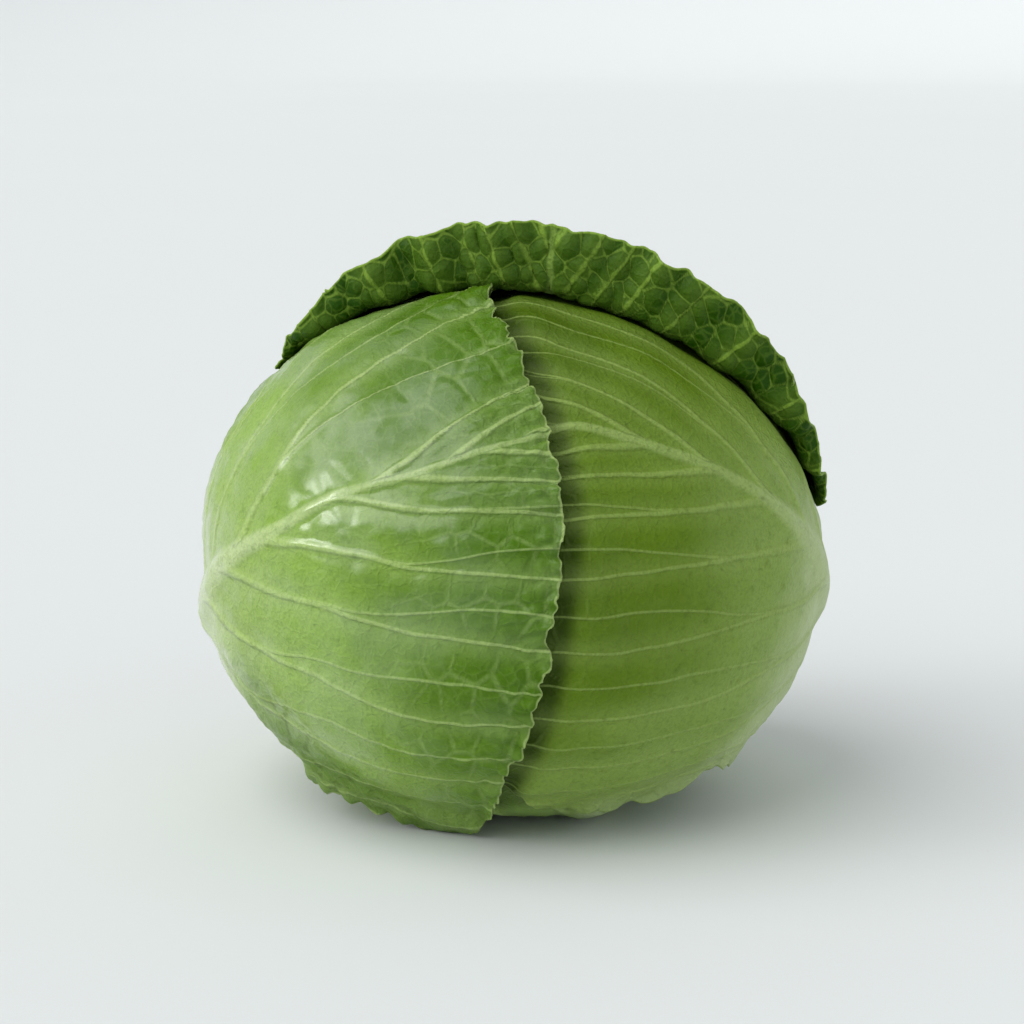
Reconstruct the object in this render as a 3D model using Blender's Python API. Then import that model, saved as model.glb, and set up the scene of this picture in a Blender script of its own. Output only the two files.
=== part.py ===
"""Round cabbage head lying on its side on a small flat spot, built leaf by leaf.

Metres, +Z up, with the origin in the middle of the flat spot. The head's stem
points backwards and down, and its apex forwards and up. A place on the head is
given by two angles: the azimuth around the stem-to-apex axis, and the angle
from the stem (0 at the stem, 180 at the apex).
"""

import math

import bmesh
import bpy
import numpy as np
from mathutils import Matrix, Vector

MM = 0.001

# The closed head: half-sizes of its outermost surface about its centre.
HALF_WIDTH = 75.0 * MM
HALF_DEPTH = 71.5 * MM
HALF_HEIGHT_TOP = 64.5 * MM
HALF_HEIGHT_BOTTOM = 63.7 * MM
LOWER_FULLNESS = 2.4  # 2 makes the lower half an ellipsoid, more makes it squarer
REST_DEPTH = 0.7 * MM  # how far the underside is pressed flat where it rests

# How the head lies: its apex is turned to the right and lifted from the horizon.
APEX_TURN = math.radians(7.4)
APEX_RISE = math.radians(33.0)

# Leaves.
LEAF_THICKNESS = 1.4 * MM
LEAF_GAP = 1.6 * MM  # free space between one leaf and the next
LEAF_PITCH = LEAF_THICKNESS + LEAF_GAP
HEART_GAP = 0.7 * MM  # extra free space between the leaves and the heart
COVER_MARGIN = 7.0  # degrees past its outline in which a leaf still holds the inner ones down
COVER_FADE = 18.0  # degrees after that in which they rise to the surface
MIDRIB_HEIGHT = 2.2 * MM
BASE_HALF_SPREAD = 42.0  # degrees of azimuth from a leaf's midrib to the end of its base

# A leaf's loose corner, drawn out past its outline and hanging down to the ground.
CORNER_SPREAD = math.radians(20.0)
CORNER_SHARPNESS = 1.4
CORNER_HANG = math.radians(11.0)  # how near the corner the leaf comes down

# The outer leaf's brim, which turns away from the head along a fold.
BRIM_LENGTH = 20.0 * MM
BRIM_BEND_RADIUS = 4.5 * MM
BRIM_BEND = math.radians(80.0)
BRIM_RINGS = 0.27  # share of the leaf's rings that the brim takes
BRIM_MIDDLE = math.radians(-7.0)  # around the outer leaf, from its midrib to the brim's middle
BRIM_HALF_SPREAD = math.radians(72.0)
BRIM_FULLNESS = 0.7  # below 1, the brim keeps its width nearer to its ends

# The cut stem.
STEM_RADIUS = 15.0 * MM
STEM_LENGTH = 13.0 * MM
STEM_TAPER = 0.9
STEM_BEVEL = 1.2 * MM
STEM_CLEARANCE = 2.4 * MM  # between the stem and the leaves' bases
STEM_SIDES = 40
STEM_SEAT_DEPTH = 5.0 * MM  # how far below the outermost surface the stem stands on the heart
SEAT_GAP = 0.5 * MM  # between the stem and the heart

# Mesh fineness.
LARGE_LEAF_SEGMENTS = 24
LEAF_SEGMENTS = 18
HEART_SUBDIVISIONS = 4

CENTRE = np.array([0.0, 0.0, HALF_HEIGHT_BOTTOM - REST_DEPTH])
APEX = np.array(
    [
        math.sin(APEX_TURN) * math.cos(APEX_RISE),
        -math.cos(APEX_TURN) * math.cos(APEX_RISE),
        math.sin(APEX_RISE),
    ]
)
AZIMUTH_0 = np.array([1.0, 0.0, 0.0]) - APEX * APEX[0]
AZIMUTH_0 /= np.linalg.norm(AZIMUTH_0)
AZIMUTH_90 = np.cross(APEX, AZIMUTH_0)


def towards(azimuth, from_stem):
    """Unit direction from the head's centre to a place given in degrees."""
    around = math.radians(azimuth)
    tilt = math.radians(from_stem)
    out = math.cos(around) * AZIMUTH_0 + math.sin(around) * AZIMUTH_90
    return out * math.sin(tilt) - APEX * math.cos(tilt)


def surface(directions, depth):
    """Points of the head in the given directions, at a depth below its outermost surface."""
    down = directions[:, 2] < 0
    half_height = np.where(down, HALF_HEIGHT_BOTTOM, HALF_HEIGHT_TOP)
    axes = np.column_stack(
        [np.full(len(down), HALF_WIDTH), np.full(len(down), HALF_DEPTH), half_height]
    )
    power = np.where(down, LOWER_FULLNESS, 2.0)
    level = np.hypot(directions[:, 0], directions[:, 1])
    swell = (level**power + np.abs(directions[:, 2]) ** power) ** (-1 / power)
    normal = directions / axes
    normal /= np.linalg.norm(normal, axis=1)[:, None]
    points = CENTRE + directions * axes * swell[:, None] - normal * depth[:, None]
    points[:, 2] = np.maximum(points[:, 2], np.maximum(depth, 0))
    return points, normal


def smoothstep(x):
    x = np.clip(x, 0, 1)
    return x * x * (3 - 2 * x)


def stem_edge():
    """Angle from the stem, in degrees, past which the head's surface clears the stem all round."""
    top = surface(-APEX[None], np.zeros(1))[0][0]
    angles = np.arange(1.0, 60.0)
    widest = 0.0
    for azimuth in range(0, 360, 10):
        points, _ = surface(np.array([towards(azimuth, angle) for angle in angles]), 0 * angles)
        aside = points - top - ((points - top) @ APEX)[:, None] * APEX
        distances = np.linalg.norm(aside, axis=1)
        widest = max(widest, np.interp(STEM_RADIUS + STEM_CLEARANCE, distances, angles))
    return widest


STEM_EDGE = stem_edge()


class Leaf:
    """A leaf's outline on the head, as its reach in each direction around its middle.

    The outline's points are (azimuth, angle from the stem), in order around the
    leaf from one end of its base to the other. The base itself follows the stem.
    """

    def __init__(self, name, colour, midrib, middle, outline, segments=LEAF_SEGMENTS, corner=None):
        self.name = name
        self.colour = colour
        self.segments = segments
        self.middle = towards(midrib, middle)
        self.to_tip = towards(midrib, middle + 90)
        self.to_side = np.cross(self.to_tip, self.middle)
        base = [(midrib + side * BASE_HALF_SPREAD, STEM_EDGE) for side in (1, 0.5, 0, -0.5, -1)]
        around, reach = self.polar(np.array([towards(*place) for place in outline + base]))
        order = np.argsort(around)
        self.corner_angles = around[order]
        self.corner_reach = reach[order]
        self.loose_corner = towards(*corner) if corner else None

    def polar(self, directions):
        """Angle around the leaf's middle from its tip, and angle away from its middle."""
        around = np.arctan2(directions @ self.to_side, directions @ self.to_tip)
        reach = np.arccos(np.clip(directions @ self.middle, -1, 1))
        return around, reach

    def direction(self, around, reach):
        rim = np.cos(around)[:, None] * self.to_tip + np.sin(around)[:, None] * self.to_side
        return np.cos(reach)[:, None] * self.middle + np.sin(reach)[:, None] * rim

    def edge(self, around):
        """Reach of the outline: a closed curve through its corners that doesn't overshoot."""
        angles, reaches = self.corner_angles, self.corner_reach
        turn = 2 * math.pi
        angle = np.concatenate([angles[-2:] - turn, angles, angles[:2] + turn])
        reach = np.concatenate([reaches[-2:], reaches, reaches[:2]])
        step = np.diff(angle)
        slope = np.diff(reach) / step
        same_way = slope[1:] * slope[:-1] > 0
        bend = np.zeros(len(angle))
        total = np.where(same_way, slope[1:] + slope[:-1], 1)
        bend[1:-1] = np.where(same_way, 2 * slope[1:] * slope[:-1] / total, 0)
        i = np.clip(np.searchsorted(angle, around) - 1, 0, len(step) - 1)
        t = (around - angle[i]) / step[i]
        start = reach[i] * (1 + 2 * t) * (1 - t) ** 2 + bend[i] * step[i] * t * (1 - t) ** 2
        end = reach[i + 1] * t * t * (3 - 2 * t) + bend[i + 1] * step[i] * t * t * (t - 1)
        return start + end

    def cover(self, directions):
        """1 under the leaf and its margin, fading to 0 in COVER_FADE degrees past them."""
        around, reach = self.polar(directions)
        outside = np.degrees(reach - self.edge(around))
        return 1 - smoothstep((outside - COVER_MARGIN) / COVER_FADE)

    def places(self, around, share):
        """Directions at a share of the way to the outline, drawn out to a loose corner."""
        directions = self.direction(around, share * self.edge(around))
        if self.loose_corner is None:
            return directions
        corner_angle, _ = self.polar(self.loose_corner[None])
        root = self.direction(corner_angle, self.edge(corner_angle))[0]
        away = np.arccos(np.clip(directions @ root, -1, 1))
        pull = np.clip(1 - away / CORNER_SPREAD, 0, 1) ** CORNER_SHARPNESS
        directions += pull[:, None] * (self.loose_corner - root)
        return directions / np.linalg.norm(directions, axis=1)[:, None]


# Outermost first: each leaf lies on the ones after it.
OUTER_LEAF = Leaf(
    "outer_back_leaf",
    (0.05, 0.12, 0.02),
    midrib=88,
    middle=80,
    outline=[
        (127, 30),
        (127, 50),
        (132, 72),
        (140, 92),
        (143, 105),
        (130, 118),
        (112, 126),
        (95, 134),
        (73, 138),
        (50, 137),
        (29, 129),
        (14, 117),
        (7, 104),
        (13, 90),
        (28, 70),
        (41, 50),
        (47, 30),
    ],
    segments=LARGE_LEAF_SEGMENTS,
)
LEFT_LEAF = Leaf(
    "front_left_leaf",
    (0.20, 0.38, 0.07),
    midrib=195,
    middle=110,
    outline=[
        (236, 40),
        (232, 65),
        (231, 86),
        (243, 91),
        (265, 94),
        (267, 110),
        (272, 140),
        (278, 163),
        (104, 166),
        (105, 146),
        (101, 123),
        (118, 108),
        (140, 92),
        (155, 70),
        (158, 40),
    ],
    segments=LARGE_LEAF_SEGMENTS,
    corner=(262, 78),
)
RIGHT_LEAF = Leaf(
    "front_right_leaf",
    (0.15, 0.30, 0.06),
    midrib=349,
    middle=110,
    outline=[
        (22, 40),
        (28, 70),
        (50, 92),
        (85, 108),
        (116, 122),
        (130, 145),
        (190, 166),
        (252, 145),
        (256, 118),
        (272, 98),
        (290, 90),
        (308, 88),
        (315, 76),
        (313, 58),
        (308, 40),
    ],
    segments=LARGE_LEAF_SEGMENTS,
)
BASE_LEAF = Leaf(
    "base_leaf",
    (0.22, 0.36, 0.10),
    midrib=270,
    middle=60,
    outline=[
        (316, 35),
        (325, 60),
        (330, 84),
        (318, 102),
        (298, 112),
        (270, 118),
        (242, 115),
        (222, 105),
        (212, 86),
        (220, 60),
        (226, 35),
    ],
    segments=LARGE_LEAF_SEGMENTS,
)
RIGHT_SHOULDER_LEAF = Leaf(
    "right_shoulder_leaf",
    (0.26, 0.40, 0.12),
    midrib=38,
    middle=62,
    outline=[(70, 40), (82, 70), (80, 100), (38, 114), (-5, 96), (-8, 70), (4, 40)],
)
LEFT_SHOULDER_LEAF = Leaf(
    "left_shoulder_leaf",
    (0.28, 0.42, 0.13),
    midrib=140,
    middle=62,
    outline=[(174, 40), (184, 70), (178, 96), (140, 114), (101, 100), (98, 70), (106, 40)],
)
LEAVES = [
    OUTER_LEAF,
    LEFT_LEAF,
    RIGHT_LEAF,
    BASE_LEAF,
    RIGHT_SHOULDER_LEAF,
    LEFT_SHOULDER_LEAF,
]



def depth_under(outer_leaves, directions):
    """Depth at which a leaf lies: one pitch below each leaf that covers it."""
    depth = np.zeros(len(directions))
    for outer in outer_leaves:
        depth += LEAF_PITCH * outer.cover(directions)
    return depth


def material(name, colour, roughness):
    made = bpy.data.materials.new(name)
    made.use_nodes = True
    shader = made.node_tree.nodes["Principled BSDF"]
    shader.inputs["Base Color"].default_value = (*colour, 1)
    shader.inputs["Roughness"].default_value = roughness
    shader.inputs["Metallic"].default_value = 0
    return made


def add_object(name, mesh_builder, made_material):
    """Link a mesh built by bmesh operators as an object at the origin."""
    data = bpy.data.meshes.new(name)
    mesh_builder.to_mesh(data)
    mesh_builder.free()
    data.materials.append(made_material)
    data.shade_smooth()
    made = bpy.data.objects.new(name, data)
    bpy.context.collection.objects.link(made)
    return made


def grid_places(builder):
    """Ring (0 at the middle, 1 at the rim) and angle of each vertex of a square grid."""
    flat = np.array([vertex.co[:2] for vertex in builder.verts])
    x, y = flat[:, 0], flat[:, 1]
    ring = np.maximum(np.abs(x), np.abs(y))
    safe = np.maximum(ring, 1e-9)
    eighth = math.pi / 4
    upright = np.abs(y) >= np.abs(x)
    around_y = np.where(y >= 0, eighth * x / safe, math.pi - eighth * x / safe)
    around_x = np.where(x >= 0, 2 * eighth - eighth * y / safe, -2 * eighth + eighth * y / safe)
    around = np.where(upright, around_y, around_x)
    return ring, np.arctan2(np.sin(around), np.cos(around)), np.abs(x) < 1e-6


def head_points(leaf, outer_leaves, ring, around, on_midrib):
    """Outer surface of a leaf that lies on the head, its midrib raised where it is bare."""
    directions = leaf.places(around, ring)
    depth = depth_under(outer_leaves, directions)
    bare = 1 - np.clip(depth / LEAF_PITCH, 0, 1)
    depth -= LEAF_PITCH * (1 - leaf.cover(directions))  # only its loose corner stands off
    from_stem = np.degrees(np.arccos(np.clip(-directions @ APEX, -1, 1)))
    taper = 1 - smoothstep((from_stem - STEM_EDGE) / 120)
    return surface(directions, depth - MIDRIB_HEIGHT * taper * bare * on_midrib)


def hang_corner(leaf, points, ring, around):
    """Lower the points near a leaf's loose corner to the surface that the head rests on."""
    away = np.arccos(np.clip(leaf.places(around, ring) @ leaf.loose_corner, -1, 1))
    points[:, 2] *= smoothstep(away / CORNER_HANG)
    return points


def brim_points(leaf, ring, around, on_midrib):
    """The outer leaf: on the head as far as its fold, then bent away as a brim."""
    from_middle = np.clip((around - BRIM_MIDDLE) / BRIM_HALF_SPREAD, -1, 1)
    share = np.cos(from_middle * math.pi / 2) ** BRIM_FULLNESS
    fold_ring = 1 - BRIM_RINGS * share
    on_head = np.minimum(ring / fold_ring, 1)
    points, normal = head_points(leaf, [], on_head, around, on_midrib)
    outward = leaf.direction(around, on_head * leaf.edge(around) + math.pi / 2)
    outward -= normal * np.sum(outward * normal, axis=1)[:, None]
    outward /= np.linalg.norm(outward, axis=1)[:, None]
    along = np.maximum(ring - fold_ring, 0) / BRIM_RINGS * BRIM_LENGTH
    bend = np.minimum(along / BRIM_BEND_RADIUS, BRIM_BEND)
    straight = along - bend * BRIM_BEND_RADIUS
    sideways = BRIM_BEND_RADIUS * np.sin(bend) + straight * np.cos(bend)
    upwards = BRIM_BEND_RADIUS * (1 - np.cos(bend)) + straight * np.sin(bend)
    return points + outward * sideways[:, None] + normal * upwards[:, None]


def add_leaf(leaf, outer_leaves):
    """A leaf as a closed shell: a round sheet laid on the head, thickened inwards."""
    builder = bmesh.new()
    bmesh.ops.create_grid(
        builder, x_segments=leaf.segments, y_segments=leaf.segments, size=1.0
    )
    ring, around, on_midrib = grid_places(builder)
    if leaf is OUTER_LEAF:
        points = brim_points(leaf, ring, around, on_midrib)
    else:
        points, _ = head_points(leaf, outer_leaves, ring, around, on_midrib)
    if leaf.loose_corner is not None:
        points = hang_corner(leaf, points, ring, around)
    for vertex, point in zip(builder.verts, points):
        vertex.co = point
    made = add_object(leaf.name, builder, material(leaf.name, leaf.colour, 0.4))
    shell = made.modifiers.new("thickness", "SOLIDIFY")
    shell.thickness = LEAF_THICKNESS
    shell.offset = -1
    return made


def add_heart():
    """The tightly folded inner leaves, as one closed body under all the others."""
    builder = bmesh.new()
    bmesh.ops.create_icosphere(builder, subdivisions=HEART_SUBDIVISIONS, radius=1.0)
    directions = np.array([vertex.co.normalized() for vertex in builder.verts])
    depth = depth_under(LEAVES, directions)
    from_stem = np.degrees(np.arccos(np.clip(-directions @ APEX, -1, 1)))
    seat = STEM_SEAT_DEPTH * (1 - smoothstep((from_stem - STEM_EDGE) / COVER_FADE))
    points, _ = surface(directions, np.maximum(depth + HEART_GAP, seat))
    for vertex, point in zip(builder.verts, points):
        vertex.co = point
    add_object("heart", builder, material("heart", (0.42, 0.52, 0.24), 0.45))


def add_stem():
    """The cut stem: a short tapered stub that stands on the heart, its cut edge rounded."""
    seat, _ = surface(-APEX[None], np.array([STEM_SEAT_DEPTH - SEAT_GAP]))
    builder = bmesh.new()
    bmesh.ops.create_cone(
        builder,
        cap_ends=True,
        segments=STEM_SIDES,
        radius1=STEM_RADIUS,
        radius2=STEM_RADIUS * STEM_TAPER,
        depth=STEM_LENGTH,
    )
    cut = [
        edge for edge in builder.edges if all(vertex.co.z > 0 for vertex in edge.verts)
    ]
    bmesh.ops.bevel(
        builder,
        geom=cut,
        offset=STEM_BEVEL,
        segments=2,
        profile=0.5,
        affect="EDGES",
    )
    turn = Vector(-APEX).to_track_quat("Z", "Y").to_matrix().to_4x4()
    place = Vector(seat[0]) - Vector(APEX) * STEM_LENGTH / 2
    bmesh.ops.transform(builder, matrix=Matrix.Translation(place) @ turn, verts=builder.verts)
    made = add_object("stem", builder, material("stem", (0.55, 0.58, 0.38), 0.6))
    made.data.set_sharp_from_angle(angle=math.radians(40))


for old in list(bpy.data.objects):
    bpy.data.objects.remove(old)

for place, leaf in enumerate(LEAVES):
    add_leaf(leaf, LEAVES[:place])
add_heart()
add_stem()
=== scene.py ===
"""Veined cabbage head lying on its side: each leaf of the CAD model as a detailed, closed leaf.

Metres, +Z up, with the origin in the middle of the flat spot that the head rests
on. A place on the head is given by two angles: the azimuth around the
stem-to-apex axis, and the angle from the stem (0 at the stem, 180 at the apex).
"""

import math

import bmesh
import bpy
import numpy as np
from bpy.props import FloatProperty, FloatVectorProperty, PointerProperty
from mathutils import Matrix, Vector


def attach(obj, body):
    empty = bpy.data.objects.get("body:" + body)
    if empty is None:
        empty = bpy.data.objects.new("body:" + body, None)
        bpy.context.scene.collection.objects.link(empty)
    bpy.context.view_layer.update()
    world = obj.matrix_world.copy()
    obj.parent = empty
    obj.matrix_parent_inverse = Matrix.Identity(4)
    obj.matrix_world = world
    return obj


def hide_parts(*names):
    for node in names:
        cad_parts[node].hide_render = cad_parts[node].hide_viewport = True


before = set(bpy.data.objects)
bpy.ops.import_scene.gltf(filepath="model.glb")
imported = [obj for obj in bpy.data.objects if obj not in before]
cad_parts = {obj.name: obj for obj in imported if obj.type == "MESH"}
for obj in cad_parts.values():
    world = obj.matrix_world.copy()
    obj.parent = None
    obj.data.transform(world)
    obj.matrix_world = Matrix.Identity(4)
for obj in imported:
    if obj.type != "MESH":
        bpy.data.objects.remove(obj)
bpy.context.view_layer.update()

bl_info = {
    "name": "Cabbage Head",
    "version": (1, 0, 0),
    "blender": (4, 5, 0),
    "location": "View3D > Sidebar > Cabbage",
    "description": "Models a round cabbage head leaf by leaf, with its stem, floor and light",
    "category": "Object",
}

MM = 0.001

# The head's outermost surface, as the CAD model has it.
HALF_WIDTH = 75.0 * MM
HALF_DEPTH = 71.5 * MM
HALF_HEIGHT_TOP = 64.5 * MM
HALF_HEIGHT_BOTTOM = 63.7 * MM
LOWER_FULLNESS = 2.4
REST_DEPTH = 0.7 * MM
APEX_TURN = math.radians(7.4)
APEX_RISE = math.radians(33.0)
STEM_RADIUS = 15.0 * MM
STEM_LENGTH = 13.0 * MM
STEM_TAPER = 0.9
STEM_SEAT_DEPTH = 4.5 * MM
BRIM_LENGTH = 20.0 * MM
BRIM_BEND_RADIUS = 4.5 * MM
BRIM_BEND = math.radians(80.0)
BRIM_MIDDLE = math.radians(-7.0)
BRIM_HALF_SPREAD = math.radians(72.0)
BRIM_FULLNESS = 0.7

# How the real leaves lie: closer to each other than the CAD solids, with the front
# left leaf's loose corner drawn out wider and the brim narrower at its right end.
CORNER_SPREAD = math.radians(25.0)  # how near the corner the leaf is drawn out to it
CORNER_SHARPNESS = 1.05
CORNER_HANG = math.radians(14.0)  # how near the corner the leaf comes down to the floor
BRIM_NARROWING = 0.4  # share of its length that the brim loses towards its right end
BRIM_RINGS = 0.42  # share of the outer leaf's rings that its brim takes
COVER_MARGIN = 0.6  # degrees past its outline in which a leaf still holds the inner ones down
COVER_FADE = 6.0  # degrees after that in which they rise to the surface
BASE_EDGE = 13.6  # degrees from the stem's axis where a leaf grows out of the stem
BASE_HALF_SPREAD = 42.0
MM_PER_DEGREE = 1.25  # along the head's surface

# Vein layout: side veins leave the midrib at a slope that grows towards the tip.
VEIN_SLOPE = 1.2
VEIN_SPREAD = 60.0  # degrees along the midrib in which the slope grows by a factor of e
LADDER_ROW = 7.0  # mm between the cross veins that join the side veins
QUILT_ROW = 5.4  # mm across a cell of the quilted outer leaf
QUILT_COLUMNS = 17.0  # its cells per radian around the leaf
PUCKER_SIZE = 4.4  # mm across a pucker near a leaf's margin
VEIN_SHAKE = 0.7  # degrees by which the side veins wander
FORK_START = 24  # mm along a side vein where its fork leaves it
FORK_LENGTH = 44  # mm in which the fork moves to the middle between two veins
THIN_VEIN = 0.46  # mm, a side vein's half width near the margin

# Relief of the leaves, in mm.
LOBE, TOOTH = 0.75, 0.33  # in and out of the margin
SWELL, SMALL_SWELL = 0.35, 0.08  # unevenness of the whole leaf
BRIM_WAVE = 0.8
RIB_HEIGHT = 0.38  # share of the midrib's half width
VEIN_HEIGHT = 0.42  # share of a side vein's half width

# A leaf's map: its outer side on the left half, its inner side on the right half.
MAP_MIDDLE = Vector((0.25, 0.5))
MAP_SCALE = Vector((0.235, 0.48))
MAP_INNER_SIDE = 0.5  # from the outer side's place to the inner side's
RIM_STRIP = 1.012  # how far past a leaf its edge lies on the map

CELL_TABLE = (97, 89)  # cells after which a honeycomb repeats
FAR = 9.0  # cells, more than any edge is away

# The stage, in metres.
FLOOR_RADIUS, FLOOR_BEND, WALL_HEIGHT = 8.0, 1.8, 0.5
FRAME_WIDTH = 0.2498  # across the frame at the head's centre
CAMERA_SHIFT = 0.0273  # of the frame's width, so that the head sits a little low in it
SENSOR_WIDTH = 36.0  # mm

# Each light: direction towards it, share of the key light's strength, spread in degrees.
LIGHTS = (
    ("key_light", (-0.62, -0.30, 0.73), 1.0, 66, (1.0, 0.99, 0.97)),
    ("window", (-0.905, -0.24, 0.35), 0.24, 20, (1.0, 1.0, 0.99)),
    ("front_fill", (0.35, -0.80, 0.45), 0.10, 60, (0.97, 0.99, 1.0)),
)

CENTRE = np.array([0.0, 0.0, HALF_HEIGHT_BOTTOM - REST_DEPTH])
APEX = np.array(
    [
        math.sin(APEX_TURN) * math.cos(APEX_RISE),
        -math.cos(APEX_TURN) * math.cos(APEX_RISE),
        math.sin(APEX_RISE),
    ]
)
AZIMUTH_0 = np.array([1.0, 0.0, 0.0]) - APEX * APEX[0]
AZIMUTH_0 /= np.linalg.norm(AZIMUTH_0)
AZIMUTH_90 = np.cross(APEX, AZIMUTH_0)


def towards(azimuth, from_stem):
    """Unit direction from the head's centre to a place given in degrees."""
    around = math.radians(azimuth)
    tilt = math.radians(from_stem)
    out = math.cos(around) * AZIMUTH_0 + math.sin(around) * AZIMUTH_90
    return out * math.sin(tilt) - APEX * math.cos(tilt)


def surface(directions, depth):
    """Points of the head in the given directions, at a depth below its outermost surface."""
    down = directions[:, 2] < 0
    half_height = np.where(down, HALF_HEIGHT_BOTTOM, HALF_HEIGHT_TOP)
    axes = np.column_stack(
        [np.full(len(down), HALF_WIDTH), np.full(len(down), HALF_DEPTH), half_height]
    )
    power = np.where(down, LOWER_FULLNESS, 2.0)
    level = np.hypot(directions[:, 0], directions[:, 1])
    swell = (level**power + np.abs(directions[:, 2]) ** power) ** (-1 / power)
    normal = directions / axes
    normal /= np.linalg.norm(normal, axis=1)[:, None]
    points = CENTRE + directions * axes * swell[:, None] - normal * depth[:, None]
    points[:, 2] = np.maximum(points[:, 2], np.maximum(depth, 0))
    return points, normal


def smoothstep(x):
    x = np.clip(x, 0, 1)
    return x * x * (3 - 2 * x)


def waves(coordinates, wavelength, seed, count=9):
    """Smooth random field between about -1 and 1 over points of any dimension."""
    random = np.random.default_rng(seed)
    total = np.zeros(len(coordinates))
    for _ in range(count):
        way = random.normal(size=coordinates.shape[1])
        way *= random.uniform(0.7, 1.4) / np.linalg.norm(way)
        total += np.sin(coordinates @ way * 2 * math.pi / wavelength + random.uniform(0, 6.3))
    return total / math.sqrt(count)


def ruffle(around, low, high, seed, count=12):
    """Smooth random wave around a closed rim, with low to high crests per turn."""
    random = np.random.default_rng(seed)
    total = np.zeros(len(around))
    for _ in range(count):
        total += np.sin(random.integers(low, high + 1) * around + random.uniform(0, 6.3))
    return total / math.sqrt(count)


def cells(column, row, seed, jitter=0.35):
    """Distance to the nearest edge of an irregular honeycomb with cells about 1 apart."""
    random = np.random.default_rng(seed)
    columns, rows = CELL_TABLE
    shifts = random.uniform(-jitter, jitter, size=(columns, rows, 2))
    home = np.column_stack([np.floor(column), np.floor(row)]).astype(int)
    place = np.column_stack([column, row])
    best = np.full(len(place), FAR)
    nearest = np.zeros_like(place)
    seeds = []
    for i in range(-2, 3):
        for j in range(-2, 3):
            cell = home + (i, j)
            shift = shifts[cell[:, 0] % columns, cell[:, 1] % rows]
            seed_place = cell + 0.5 + shift
            seed_place[:, 1] += 0.5 * (cell[:, 0] % 2)
            distance = np.linalg.norm(place - seed_place, axis=1)
            nearer = distance < best
            best = np.where(nearer, distance, best)
            nearest[nearer] = seed_place[nearer]
            seeds.append(seed_place)
    edge = np.full(len(place), FAR)
    for seed_place in seeds:
        across = seed_place - nearest
        apart = np.linalg.norm(across, axis=1)
        other = apart > 1e-6
        middle = (seed_place + nearest) / 2
        to_edge = np.sum((middle - place) * across, axis=1) / np.maximum(apart, 1e-6)
        edge = np.where(other, np.minimum(edge, to_edge), edge)
    return np.maximum(edge, 0)


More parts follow.
